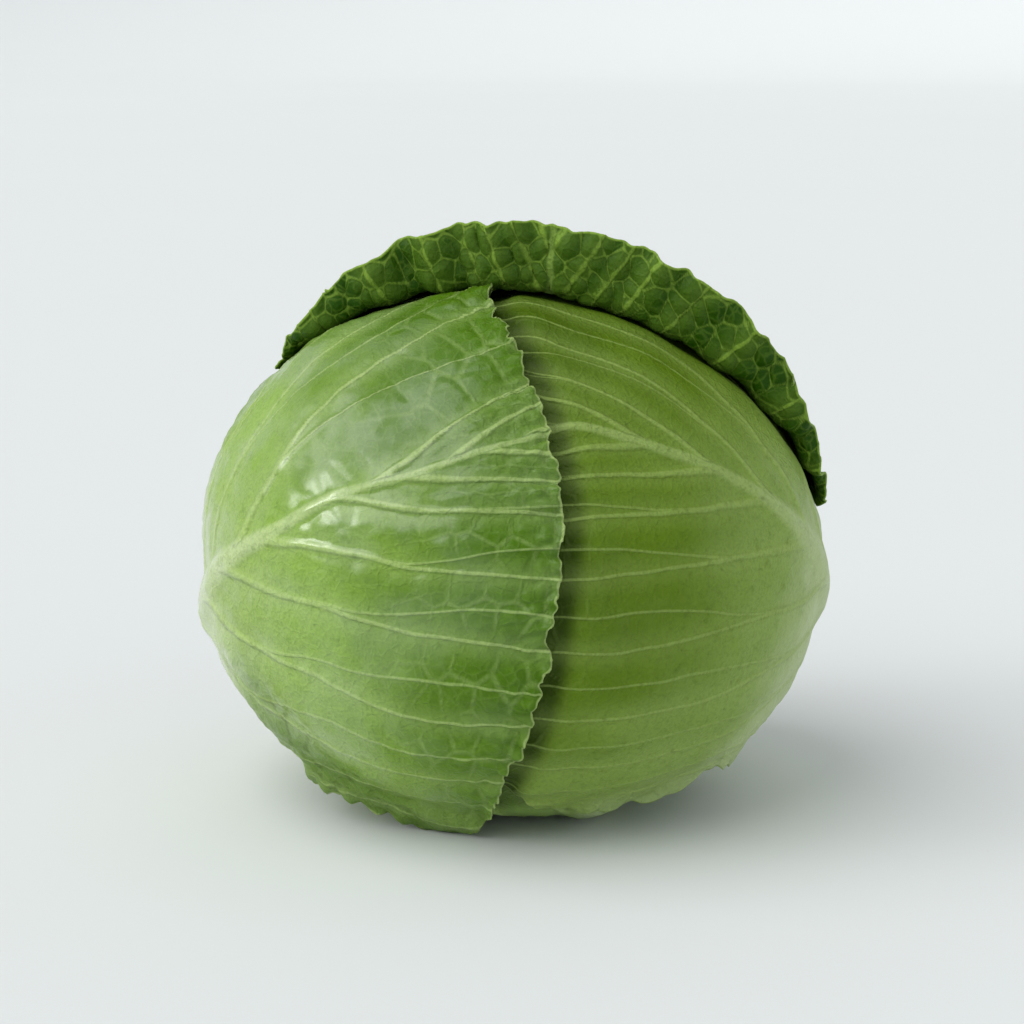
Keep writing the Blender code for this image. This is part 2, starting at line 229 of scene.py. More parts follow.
class Leaf:
    """A leaf's outline and veins on the head.

    The outline's points are (azimuth, angle from the stem), in order around the
    leaf from one end of its base to the other. Its side veins leave the midrib at
    places given in degrees from the leaf's middle towards its tip, first those on
    the side of falling azimuth, then those on the other side.
    """

    def __init__(
        self, node, midrib, middle, outline, side_veins, segments, seed, rib_bend=0.0,
        rib_width=1.0, corner=None, pillow=0.35, pucker=0.35, ruffle=1.0, quilt=0.0,
    ):
        self.node = node
        self.segments = segments
        self.seed = seed
        self.side_veins = side_veins
        self.rib_bend = rib_bend
        self.rib_width = rib_width
        self.pillow = pillow
        self.pucker = pucker
        self.ruffle = ruffle
        self.quilt = quilt
        self.middle_angle = middle
        self.middle = towards(midrib, middle)
        self.to_tip = towards(midrib, middle + 90)
        self.to_side = np.cross(self.to_tip, self.middle)
        base = [(midrib + side * BASE_HALF_SPREAD, BASE_EDGE) for side in (1, 0.5, 0, -0.5, -1)]
        around, reach = self.polar(np.array([towards(*place) for place in outline + base]))
        order = np.argsort(around)
        self.corner_angles = around[order]
        self.corner_reach = reach[order]
        self.loose_corner = towards(*corner) if corner else None

    def polar(self, directions):
        """Angle around the leaf's middle from its tip, and angle away from its middle."""
        around = np.arctan2(directions @ self.to_side, directions @ self.to_tip)
        reach = np.arccos(np.clip(directions @ self.middle, -1, 1))
        return around, reach

    def direction(self, around, reach):
        rim = np.cos(around)[:, None] * self.to_tip + np.sin(around)[:, None] * self.to_side
        return np.cos(reach)[:, None] * self.middle + np.sin(reach)[:, None] * rim

    def edge(self, around):
        """Reach of the outline: a closed curve through its corners that doesn't overshoot."""
        angles, reaches = self.corner_angles, self.corner_reach
        turn = 2 * math.pi
        angle = np.concatenate([angles[-2:] - turn, angles, angles[:2] + turn])
        reach = np.concatenate([reaches[-2:], reaches, reaches[:2]])
        step = np.diff(angle)
        slope = np.diff(reach) / step
        same_way = slope[1:] * slope[:-1] > 0
        bend = np.zeros(len(angle))
        total = np.where(same_way, slope[1:] + slope[:-1], 1)
        bend[1:-1] = np.where(same_way, 2 * slope[1:] * slope[:-1] / total, 0)
        i = np.clip(np.searchsorted(angle, around) - 1, 0, len(step) - 1)
        t = (around - angle[i]) / step[i]
        start = reach[i] * (1 + 2 * t) * (1 - t) ** 2 + bend[i] * step[i] * t * (1 - t) ** 2
        end = reach[i + 1] * t * t * (3 - 2 * t) + bend[i + 1] * step[i] * t * t * (t - 1)
        return start + end

    def cover(self, directions):
        """1 under the leaf, fading to 0 in COVER_FADE degrees past its outline."""
        around, reach = self.polar(directions)
        outside = np.degrees(reach - self.edge(around))
        return 1 - smoothstep((outside - COVER_MARGIN) / COVER_FADE)

    def places(self, around, share):
        """Directions at a share of the way to the outline, drawn out to a loose corner."""
        directions = self.direction(around, share * self.edge(around))
        if self.loose_corner is None:
            return directions
        corner_angle, _ = self.polar(self.loose_corner[None])
        root = self.direction(corner_angle, self.edge(corner_angle))[0]
        away = np.arccos(np.clip(directions @ root, -1, 1))
        pull = np.clip(1 - away / CORNER_SPREAD, 0, 1) ** CORNER_SHARPNESS
        directions += pull[:, None] * (self.loose_corner - root)
        return directions / np.linalg.norm(directions, axis=1)[:, None]

    def veins(self, across, along, points):
        """Where each point lies among the veins, from its place on the leaf in degrees."""
        shaken = points / MM
        seed = self.seed
        across = across + VEIN_SHAKE * waves(shaken, 42, seed) + 0.14 * waves(shaken, 12, seed + 1)
        along = along + 0.9 * waves(shaken, 50, seed + 2) + 0.16 * waves(shaken, 13, seed + 3)
        aside = across - self.rib_bend * smoothstep((along + 10) / 50)
        away = np.abs(aside)
        origin = along - away
        for _ in range(8):
            slope = VEIN_SLOPE * np.exp(np.clip((origin - 5) / VEIN_SPREAD, -3, 0.55))
            excess = origin + slope * away - along
            origin -= excess / (1 + slope / VEIN_SPREAD * away)
        phase = np.zeros(len(across))
        step = np.ones(len(across))
        for side, starts in zip((aside <= 0, aside > 0), self.side_veins):
            first = [starts[0] - 11 * k for k in range(9, 0, -1)]
            last = [starts[-1] + 14 * k for k in range(1, 9)]
            knots = np.array(first + list(starts) + last, dtype=float)
            index = np.clip(np.searchsorted(knots, origin) - 1, 0, len(knots) - 2)
            local = (origin - knots[index]) / (knots[index + 1] - knots[index]) + index
            phase = np.where(side, local, phase)
            step = np.where(side, knots[index + 1] - knots[index], step)
        tilt = np.sqrt(1 + slope * slope)
        pitch = MM_PER_DEGREE * step * (1 + slope / VEIN_SPREAD * away) / tilt
        travel = MM_PER_DEGREE * away * tilt
        past_start = travel - FORK_START - 4 * waves(shaken, 60, seed + 4)
        fork = 0.48 * smoothstep(past_start / FORK_LENGTH)
        from_base = along + self.middle_angle
        swollen = 4.0 * np.exp(-(from_base - 104) / 27)
        rib = self.rib_width * (0.8 + 6.5 * (1 - np.exp(-swollen / 6.5)))
        stoutness = 0.55 + 1.1 * np.exp(-from_base / 90)
        thickness = THIN_VEIN + 1.15 * np.exp(-travel / 32) * stoutness
        return {
            "rib": MM_PER_DEGREE * away / rib,
            "rib_size": rib,
            "phase": phase,
            "pitch": pitch,
            "fork": fork,
            "vein_width": thickness,
            "travel": travel,
            "crossing": MM_PER_DEGREE * (away + slope * along) / tilt,
            "from_base": from_base,
        }


# Outermost first: each leaf lies on the ones after it.
OUTER_LEAF = Leaf(
    "outer_back_leaf",
    midrib=88, middle=80,
    outline=[
        (127, 30), (127, 50), (132, 72), (140, 92), (143, 105), (130, 118), (112, 126),
        (95, 134), (73, 138), (50, 137), (29, 129), (14, 117), (7, 104), (13, 90), (28, 70),
        (41, 50), (47, 30),
    ],
    side_veins=((-48, -33, -19, -5, 8, 20, 31, 41), (-50, -35, -21, -7, 6, 18, 29, 39)),
    segments=220, seed=11, pillow=0.5, pucker=0.0, ruffle=1.05, quilt=0.7, rib_width=0.75,
)
LEFT_LEAF = Leaf(
    "front_left_leaf",
    midrib=195, middle=110,
    outline=[
        (236, 40), (232, 65), (231, 86), (243, 91), (265, 94), (267, 110), (272, 140),
        (278, 163), (104, 166), (105, 146), (101, 123), (118, 108), (140, 92), (155, 70),
        (158, 40),
    ],
    side_veins=((-64, -50, -37, -24, -11, 4, 39), (-60, -46, -32, -18, -2, 13, 31)),
    segments=220, seed=23, corner=(262, 81), pucker=0.6, ruffle=0.8,
)
RIGHT_LEAF = Leaf(
    "front_right_leaf",
    midrib=349, middle=110,
    outline=[
        (22, 40), (28, 70), (50, 92), (85, 108), (116, 122), (130, 145), (190, 166),
        (252, 145), (256, 118), (272, 98), (290, 90), (308, 88), (315, 76), (313, 58),
        (308, 40),
    ],
    side_veins=((-64, -52, -39, -29, -19, -6, 10, 25, 39), (-60, -46, -33, -19, -5, 9, 24, 40)),
    segments=220, seed=37, rib_bend=4.0, rib_width=1.35, pucker=0.15,
)
BASE_LEAF = Leaf(
    "base_leaf",
    midrib=285, middle=60,
    outline=[
        (316, 35), (325, 60), (330, 84), (318, 102), (298, 112), (270, 118), (242, 115),
        (222, 105), (212, 86), (220, 60), (226, 35),
    ],
    side_veins=((-30, -18, -6, 6, 18, 29, 39), (-32, -20, -8, 4, 16, 27, 37)), segments=170,
    seed=41,
)
RIGHT_SHOULDER_LEAF = Leaf(
    "right_shoulder_leaf",
    midrib=38, middle=62,
    outline=[(70, 40), (82, 70), (80, 100), (38, 114), (-5, 96), (-8, 70), (4, 40)],
    side_veins=((-30, -17, -5, 8, 20, 31), (-28, -16, -4, 7, 19, 30)), segments=160, seed=53,
)
LEFT_SHOULDER_LEAF = Leaf(
    "left_shoulder_leaf",
    midrib=140, middle=62,
    outline=[(174, 40), (184, 70), (178, 96), (140, 114), (101, 100), (98, 70), (106, 40)],
    side_veins=((-29, -17, -4, 8, 19, 30), (-31, -18, -6, 6, 18, 31)), segments=160, seed=67,
)
LEAVES = [
    OUTER_LEAF, LEFT_LEAF, RIGHT_LEAF, BASE_LEAF, RIGHT_SHOULDER_LEAF, LEFT_SHOULDER_LEAF,
]


def depth_under(outer_leaves, directions, pitch):
    """Depth at which a leaf lies: one pitch below each leaf that covers it."""
    depth = np.zeros(len(directions))
    for outer in outer_leaves:
        depth += pitch * outer.cover(directions)
    return depth


def grid_places(builder):
    """Ring (0 at the middle, 1 at the rim) and angle of each vertex of a square grid."""
    flat = np.array([vertex.co[:2] for vertex in builder.verts])
    x, y = flat[:, 0], flat[:, 1]
    ring = np.maximum(np.abs(x), np.abs(y))
    safe = np.maximum(ring, 1e-9)
    eighth = math.pi / 4
    upright = np.abs(y) >= np.abs(x)
    around_y = np.where(y >= 0, eighth * x / safe, math.pi - eighth * x / safe)
    around_x = np.where(x >= 0, 2 * eighth - eighth * y / safe, -2 * eighth + eighth * y / safe)
    around = np.where(upright, around_y, around_x)
    return flat, ring, np.arctan2(np.sin(around), np.cos(around))


def sheet_normals(points, side):
    """Normal of each point of a square sheet of points, given row by row."""
    sheet = points.reshape(side, side, 3)
    by_row = np.gradient(sheet, axis=0)
    by_column = np.gradient(sheet, axis=1)
    normal = np.cross(by_column, by_row).reshape(-1, 3)
    length = np.linalg.norm(normal, axis=1)
    return normal / np.maximum(length, 1e-12)[:, None]


def leaf_sheet(leaf, outer_leaves, ring, around, settings):
    """The leaf's outer surface before its veins: points, normals and its places on the leaf."""
    pitch = settings.leaf_thickness + settings.leaf_gap
    near_rim = smoothstep((ring - 0.9) / 0.1)
    lobes = LOBE * ruffle(around, 20, 60, leaf.seed)
    teeth = lobes + TOOTH * ruffle(around, 90, 150, leaf.seed + 1)
    from_tip = 0.25 + 0.75 * (1 - smoothstep((np.abs(around) - 1.1) / 0.5))
    jag = np.radians(leaf.ruffle * from_tip * teeth / MM_PER_DEGREE) * near_rim
    if leaf.quilt:
        from_middle = np.clip((around - BRIM_MIDDLE) / BRIM_HALF_SPREAD, -1, 1)
        share = np.cos(from_middle * math.pi / 2) ** BRIM_FULLNESS
        share *= 1 - BRIM_NARROWING * smoothstep((-from_middle - 0.25) / 0.6)
        fold_ring = 1 - BRIM_RINGS * share
    else:
        share = np.zeros(len(ring))
        fold_ring = np.ones(len(ring))
    on_head = np.minimum(ring / fold_ring, 1)
    edge = leaf.edge(around)
    directions = leaf.places(around, on_head + np.where(share > 0.02, 0, jag / edge))
    depth = depth_under(outer_leaves, directions, pitch)
    bare = 1 - np.clip(depth / pitch, 0, 1)
    depth -= pitch * (1 - leaf.cover(directions))
    points, normal = surface(directions, depth)
    flat_reach = np.degrees(leaf.polar(directions)[1])
    real_around = leaf.polar(directions)[0]
    margin = (1 - ring) * np.degrees(edge) * MM_PER_DEGREE
    along_brim = np.zeros(len(ring))
    if leaf.quilt:
        outward = leaf.direction(around, on_head * edge + math.pi / 2)
        outward -= normal * np.sum(outward * normal, axis=1)[:, None]
        outward /= np.linalg.norm(outward, axis=1)[:, None]
        along_brim = np.maximum(ring - fold_ring, 0) / BRIM_RINGS * BRIM_LENGTH
        along_brim *= 1 + 0.016 * leaf.ruffle * teeth * near_rim
        bend = np.minimum(along_brim / BRIM_BEND_RADIUS, BRIM_BEND)
        straight = along_brim - bend * BRIM_BEND_RADIUS
        sideways = BRIM_BEND_RADIUS * np.sin(bend) + straight * np.cos(bend)
        upwards = BRIM_BEND_RADIUS * (1 - np.cos(bend)) + straight * np.sin(bend)
        points = points + outward * sideways[:, None] + normal * upwards[:, None]
        flat_reach = flat_reach + along_brim / MM / MM_PER_DEGREE
        brim_margin = (1 - ring) / BRIM_RINGS * BRIM_LENGTH / MM
        turned_margin = np.where(ring > fold_ring, brim_margin, brim_margin * 2)
        margin = np.where(share > 0.02, turned_margin, margin)
    across = flat_reach * np.sin(real_around)
    along = flat_reach * np.cos(real_around)
    return {
        "points": points,
        "bare": bare,
        "across": across,
        "along": along,
        "margin": margin,
        "brim": along_brim / BRIM_LENGTH,
        "directions": directions,
    }


def ridge(distance, width):
    """A rounded ridge: 1 on its line, 0 from a width away."""
    return (1 - np.clip(distance / width, 0, 1) ** 2) ** 2


def leaf_relief(leaf, sheet, veins, around):
    """Height of the veins, pillows and ruffles above the plain leaf, in mm."""
    margin, brim = sheet["margin"], sheet["brim"]
    shaken = sheet["points"] / MM
    rib = veins["rib_size"] * RIB_HEIGHT * ridge(veins["rib"], 1.5)
    part = veins["phase"] - np.floor(veins["phase"])
    to_vein = np.minimum(part, 1 - part) * veins["pitch"]
    to_fork = np.abs(part - veins["fork"]) * veins["pitch"]
    width = veins["vein_width"]
    side = np.maximum(ridge(to_vein, 1.7 * width), 0.7 * ridge(to_fork, 1.3 * width))
    side *= VEIN_HEIGHT * width * (1 - ridge(veins["rib"], 1.5))
    near_margin = np.exp(-margin / 13)
    pillow = leaf.pillow * (0.55 + 1.1 * near_margin) * -np.cos(2 * math.pi * part)
    pillow *= np.clip(veins["pitch"] / 12, 0.2, 1.2) * smoothstep((veins["travel"] - 6) / 16)
    puff = smoothstep(veins["net"] / 2.2)
    quilting = leaf.quilt * (0.3 + 0.7 * smoothstep(brim / 0.25)) * (0.35 - puff)
    small_puff = smoothstep(sheet["puckers"] / 1.7)
    near_edge = np.exp(-margin / 8)
    puckers = 0.3 * puff + 0.8 * puff * near_margin + 1.7 * small_puff * near_edge
    puckers *= leaf.pucker
    free = 1 - smoothstep((np.abs(around) - 2.2) / 0.5)
    lift = 0.5 + 0.5 * ruffle(around, 26, 44, leaf.seed + 5)
    fine = 0.5 + 0.5 * ruffle(around, 60, 95, leaf.seed + 6)
    wavy = 1.1 * near_edge * lift + 0.8 * np.exp(-margin / 5) * fine
    wavy *= leaf.ruffle * free
    swell = SWELL * waves(shaken, 34, leaf.seed + 7)
    swell += SMALL_SWELL * waves(shaken, 9, leaf.seed + 8)
    brim_wave = BRIM_WAVE * smoothstep(brim / 0.6) * ruffle(around, 20, 34, leaf.seed + 9)
    free_to_swell = smoothstep(sheet["bare"] / 0.7)
    return free_to_swell * (rib + side + pillow + quilting + puckers + wavy + swell + brim_wave)


ATTRIBUTES = (
    "rib",
    "phase",
    "pitch",
    "fork",
    "vein_width",
    "net",
    "margin",
    "from_base",
    "travel",
    "brim",
    "bare",
)


def spin_profile(profile, steps, cuts=0):
    """A bmesh of a profile of (radius, height) points turned round the upright axis."""
    builder = bmesh.new()
    chain = [builder.verts.new((radius, 0, height)) for radius, height in profile]
    edges = [builder.edges.new(pair) for pair in zip(chain, chain[1:])]
    if cuts:
        bmesh.ops.subdivide_edges(builder, edges=edges, cuts=cuts)
    bmesh.ops.spin(
        builder, geom=list(builder.verts) + list(builder.edges),
        axis=(0, 0, 1), cent=(0, 0, 0), angle=2 * math.pi, steps=steps, use_merge=True,
    )
    bmesh.ops.remove_doubles(builder, verts=builder.verts, dist=0.001)
    bmesh.ops.recalc_face_normals(builder, faces=builder.faces)
    return builder


def add_mesh(name, builder, finish):
    """Link a finished mesh as a smooth object."""
    data = bpy.data.meshes.new(name)
    builder.to_mesh(data)
    builder.free()
    data.materials.append(finish)
    data.shade_smooth()
    made = bpy.data.objects.new(name, data)
    bpy.context.scene.collection.objects.link(made)
    return made


def add_piece(name, builder, node, finish):
    """Link a finished mesh as a piece that stands for a CAD node."""
    made = add_mesh(name, builder, finish)
    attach(made, "root")
    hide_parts(node)
    return made


def outward_normals(points, order, side):
    """Normals of a grid's points, all on the outer side of the leaf."""
    normal = np.empty(points.shape)
    normal[order] = sheet_normals(points[order], side)
    if np.sum(normal * (points - CENTRE)) < 0:
        normal = -normal
    return normal


def on_map(vertex, scale=1.0):
    """Place of a flat grid's vertex on the leaf's map."""
    return MAP_MIDDLE + scale * MAP_SCALE * vertex.co.xy


def add_leaf(leaf, outer_leaves, settings, finish):
    """A veined leaf as a closed shell that is thin at its margin."""
    builder = bmesh.new()
    bmesh.ops.create_grid(builder, x_segments=leaf.segments, y_segments=leaf.segments, size=1.0)
    flat, ring, around = grid_places(builder)
    sheet = leaf_sheet(leaf, outer_leaves, ring, around, settings)
    veins = leaf.veins(sheet["across"], sheet["along"], sheet["points"])
    flat_mm = MM_PER_DEGREE * np.column_stack([sheet["across"], sheet["along"]])
    if leaf.quilt:
        veins["fork"] = 0 * veins["fork"]
        column, row = QUILT_COLUMNS * around, np.linalg.norm(flat_mm, axis=1) / QUILT_ROW
        veins["net"] = QUILT_ROW * cells(column, row, leaf.seed + 10, 0.45)
    else:
        to_edge = cells(2 * veins["phase"], veins["crossing"] / LADDER_ROW, leaf.seed + 10)
        veins["net"] = to_edge * np.minimum(LADDER_ROW, veins["pitch"] / 2)
    small = flat_mm / PUCKER_SIZE
    sheet["puckers"] = PUCKER_SIZE * cells(small[:, 0], small[:, 1], leaf.seed + 11, 0.45)
    for name in ("margin", "brim", "bare"):
        veins[name] = sheet[name]
    order = np.lexsort((flat[:, 0].round(6), flat[:, 1].round(6)))
    side = leaf.segments + 1
    normal = outward_normals(sheet["points"], order, side)
    height = leaf_relief(leaf, sheet, veins, around) * MM
    outer = sheet["points"] + normal * height[:, None]
    outer[:, 2] = np.maximum(outer[:, 2], 0)
    if leaf.loose_corner is not None:
        away = np.arccos(np.clip(sheet["directions"] @ leaf.loose_corner, -1, 1))
        outer[:, 2] *= smoothstep(away / CORNER_HANG)
    normal = outward_normals(outer, order, side)
    thickness = settings.leaf_thickness * (0.45 + 0.55 * smoothstep(sheet["margin"] / 3))
    inner = outer - normal * thickness[:, None]
    inner[:, 2] = np.maximum(inner[:, 2], 0.2 * MM)

    bake_map = builder.loops.layers.uv.new("OFBake")
    layers = {name: builder.verts.layers.float.new(name) for name in ATTRIBUTES}
    outer_verts = list(builder.verts)
    for name, layer in layers.items():
        for vertex, value in zip(outer_verts, veins[name].tolist()):
            vertex[layer] = value
    for face in builder.faces:
        for loop in face.loops:
            loop[bake_map].uv = on_map(loop.vert)
    sheet_parts = outer_verts + list(builder.edges) + list(builder.faces)
    doubled = bmesh.ops.duplicate(builder, geom=sheet_parts)
    for face in doubled["geom"]:
        if isinstance(face, bmesh.types.BMFace):
            for loop in face.loops:
                loop[bake_map].uv.x += MAP_INNER_SIDE
    places = {}
    for vertex, outer_place, inner_place in zip(outer_verts, outer, inner):
        twin = doubled["vert_map"][vertex]
        places[vertex] = on_map(vertex)
        places[twin] = on_map(vertex, RIM_STRIP)
        vertex.co = outer_place
        twin.co = inner_place
    rims = [edge for edge in builder.edges if edge.is_boundary]
    bridged = bmesh.ops.bridge_loops(builder, edges=rims)
    for face in bridged["faces"]:
        for loop in face.loops:
            loop[bake_map].uv = places[loop.vert]
    bmesh.ops.recalc_face_normals(builder, faces=builder.faces)
    return add_piece(leaf.node + "_veined", builder, leaf.node, finish)


def add_heart(settings, finish):
    """The tightly folded inner leaves, under all the others."""
    pitch = settings.leaf_thickness + settings.leaf_gap
    builder = bmesh.new()
    bmesh.ops.create_icosphere(builder, subdivisions=6, radius=1.0)
    directions = np.array([vertex.co.normalized() for vertex in builder.verts])
    depth = depth_under(LEAVES, directions, pitch)
    from_stem = np.degrees(np.arccos(np.clip(-directions @ APEX, -1, 1)))
    depth += 6.0 * MM * (1 - smoothstep((from_stem - BASE_EDGE) / 14))
    points, normal = surface(directions, depth)
    points += normal * (0.4 * MM * waves(points / MM, 24, 5))[:, None]
    for vertex, point in zip(builder.verts, points):
        vertex.co = point
    return add_piece("heart_folded_leaves", builder, "heart", finish)


def add_stem(finish):
    """The cut stem: a fibrous cut face, a torn rim, and the scars where old leaves broke off."""
    seat = surface(-APEX[None], np.array([STEM_SEAT_DEPTH]))[0][0]
    radius, length = STEM_RADIUS / MM, STEM_LENGTH / MM
    half = [(0, length), (radius * STEM_TAPER - 1.4, length)]
    half += [(radius * STEM_TAPER - 0.4, length - 0.35), (radius * STEM_TAPER, length - 1.3)]
    half += [(radius * 0.965, length * 0.45), (radius, 0.8), (radius * 0.94, 0), (0, -0.6)]
    builder = spin_profile(half, steps=180, cuts=11)
    place = np.array([vertex.co for vertex in builder.verts])
    away = np.hypot(place[:, 0], place[:, 1])
    around = np.arctan2(place[:, 1], place[:, 0])
    top = smoothstep((place[:, 2] - length + 1.6) / 1.5)
    out = np.column_stack([np.cos(around), np.sin(around), 0 * away])
    side = smoothstep((away - radius * 0.6) / (radius * 0.3))
    lobes = 0.55 * np.sin(5 * around + 0.8) + 0.3 * np.sin(8 * around + 2.1)
    scars = 0.5 * np.maximum(0, np.cos(3 * around + place[:, 2] * 0.55)) ** 6
    fibres = 0.12 * ruffle(around, 40, 75, 3)
    place += out * (side * (0.5 * lobes - scars + fibres))[:, None]
    grain = 0.22 * waves(place[:, :2], 3.2, 8) + 0.14 * waves(place[:, :2], 1.3, 9)
    sunk = -0.9 * np.exp(-((away / 5.2) ** 2)) - 0.35 * np.exp(-(((away - 9.5) / 1.2) ** 2))
    slant = 0.05 * place[:, 0] + 0.03 * place[:, 1]
    place[:, 2] += top * (grain + sunk + slant)
    for vertex, moved in zip(builder.verts, place):
        vertex.co = moved * MM
    turn = Vector(-APEX).to_track_quat("Z", "Y").to_matrix().to_4x4()
    matrix = Matrix.Translation(Vector(seat)) @ turn
    axis_layer = builder.verts.layers.float.new("from_axis")
    cut_layer = builder.verts.layers.float.new("from_cut")
    for vertex, moved in zip(builder.verts, place):
        vertex[axis_layer] = float(math.hypot(moved[0], moved[1]))
        vertex[cut_layer] = float(length - moved[2])
    bmesh.ops.transform(builder, matrix=matrix, verts=builder.verts)
    return add_piece("stem_fibrous", builder, "stem", finish)


class Wire:
    """A shader socket on which arithmetic adds the Math nodes."""

    def __init__(self, recipe, socket):
        self.recipe = recipe
        self.socket = socket

    def _math(self, operation, first, second):
        made = self.recipe.node("ShaderNodeMath", {"operation": operation}, {0: first, 1: second})
        return self.recipe.out(made)

    def __add__(self, other):
        return self._math("ADD", self, other)

    def __radd__(self, other):
        return self._math("ADD", other, self)

    def __sub__(self, other):
        return self._math("SUBTRACT", self, other)

    def __rsub__(self, other):
        return self._math("SUBTRACT", other, self)

    def __mul__(self, other):
        return self._math("MULTIPLY", self, other)

    def __rmul__(self, other):
        return self._math("MULTIPLY", other, self)

    def __truediv__(self, other):
        return self._math("DIVIDE", self, other)

    def least(self, other):
        return self._math("MINIMUM", self, other)

    def most(self, other):
        return self._math("MAXIMUM", self, other)

    def size(self):
        return self._math("ABSOLUTE", self, 0.0)

    def part(self):
        return self._math("FRACT", self, 0.0)


class Recipe:
    """A material's nodes, made around one Principled shader."""

    def __init__(self, name, constants):
        self.material = bpy.data.materials.new(name)
        self.material.use_nodes = True
        self.tree = self.material.node_tree
        self.shader = self.tree.nodes["Principled BSDF"]
        for socket, value in constants.items():
            self.shader.inputs[socket].default_value = value
        self.coordinates = self.out(self.node("ShaderNodeTexCoord"), "Object")

    def node(self, kind, settings=None, sockets=None):
        """Add a node: its settings first, then the values or links of its sockets."""
        made = self.tree.nodes.new(kind)
        for key, value in (settings or {}).items():
            if key == "stops":
                ramp = made.color_ramp.elements
                while len(ramp) < len(value):
                    ramp.new(0.5)
                for stop, (position, colour) in zip(ramp, value):
                    stop.position = position
                    stop.color = (*colour, 1)
            else:
                setattr(made, key, value)
        for key, value in (sockets or {}).items():
            if isinstance(value, Wire):
                self.tree.links.new(value.socket, made.inputs[key])
            else:
                made.inputs[key].default_value = value
        return made

    def out(self, made, output=0):
        return Wire(self, made.outputs[output])

    def attribute(self, name):
        return self.out(self.node("ShaderNodeAttribute", {"attribute_name": name}), "Fac")

    def ease(self, value, start, end, low=0.0, high=1.0):
        """low at start, high at end and smooth between them."""
        made = self.node(
            "ShaderNodeMapRange",
            {"interpolation_type": "SMOOTHSTEP"},
            {"Value": value, "From Min": start, "From Max": end, "To Min": low, "To Max": high},
        )
        return self.out(made)

    def mix(self, first, second, share):
        """A colour between two others."""
        colours = [c if isinstance(c, Wire) else (*c, 1) for c in (first, second)]
        made = self.node(
            "ShaderNodeMix", {"data_type": "RGBA"}, {"Factor": share, 6: colours[0], 7: colours[1]}
        )
        return self.out(made, 2)

    def noise(self, size, detail=3.0, roughness=0.55, stretch=(1, 1, 1)):
        """Noise between 0 and 1 whose features are about size metres across."""
        place = self.out(
            self.node(
                "ShaderNodeMapping", None, {"Vector": self.coordinates, "Scale": Vector(stretch)}
            )
        )
        made = self.node(
            "ShaderNodeTexNoise",
            None,
            {"Vector": place, "Scale": 1 / size, "Detail": detail, "Roughness": roughness},
        )
        return self.out(made)

    def honeycomb(self, size):
        """Distance to the nearest wall of 3-D cells about size metres across, 0 on a wall."""
        drift = self.node(
            "ShaderNodeTexNoise", None, {"Vector": self.coordinates, "Scale": 0.6 / size}
        )
        shaken = self.node(
            "ShaderNodeVectorMath",
            {"operation": "MULTIPLY_ADD"},
            {0: self.out(drift, "Color"), 1: Vector((size, size, size)), 2: self.coordinates},
        )
        made = self.node(
            "ShaderNodeTexVoronoi",
            {"feature": "DISTANCE_TO_EDGE"},
            {"Vector": self.out(shaken), "Scale": 1 / size},
        )
        return self.out(made)

    def finish(self, colour, roughness, height, strength=1.0, coat=None):
        """Link the colour, the roughness, a height in mm as bump and a coat's weight."""
        bump = self.node(
            "ShaderNodeBump", None, {"Height": height, "Distance": MM, "Strength": strength}
        )
        self.tree.links.new(colour.socket, self.shader.inputs["Base Color"])
        self.tree.links.new(roughness.socket, self.shader.inputs["Roughness"])
        self.tree.links.new(self.out(bump).socket, self.shader.inputs["Normal"])
        if coat:
            self.tree.links.new(coat.socket, self.shader.inputs["Coat Weight"])
        return self.material


LEAF_SHEEN = {
    "Metallic": 0.0,
    "IOR": 1.42,
    "Specular IOR Level": 0.25,
    "Coat IOR": 1.65,
    "Coat Roughness": 0.22,
    "Subsurface Weight": 0.1,
    "Subsurface Radius": (0.9, 1.0, 0.35),
    "Subsurface Scale": 0.0016,
}


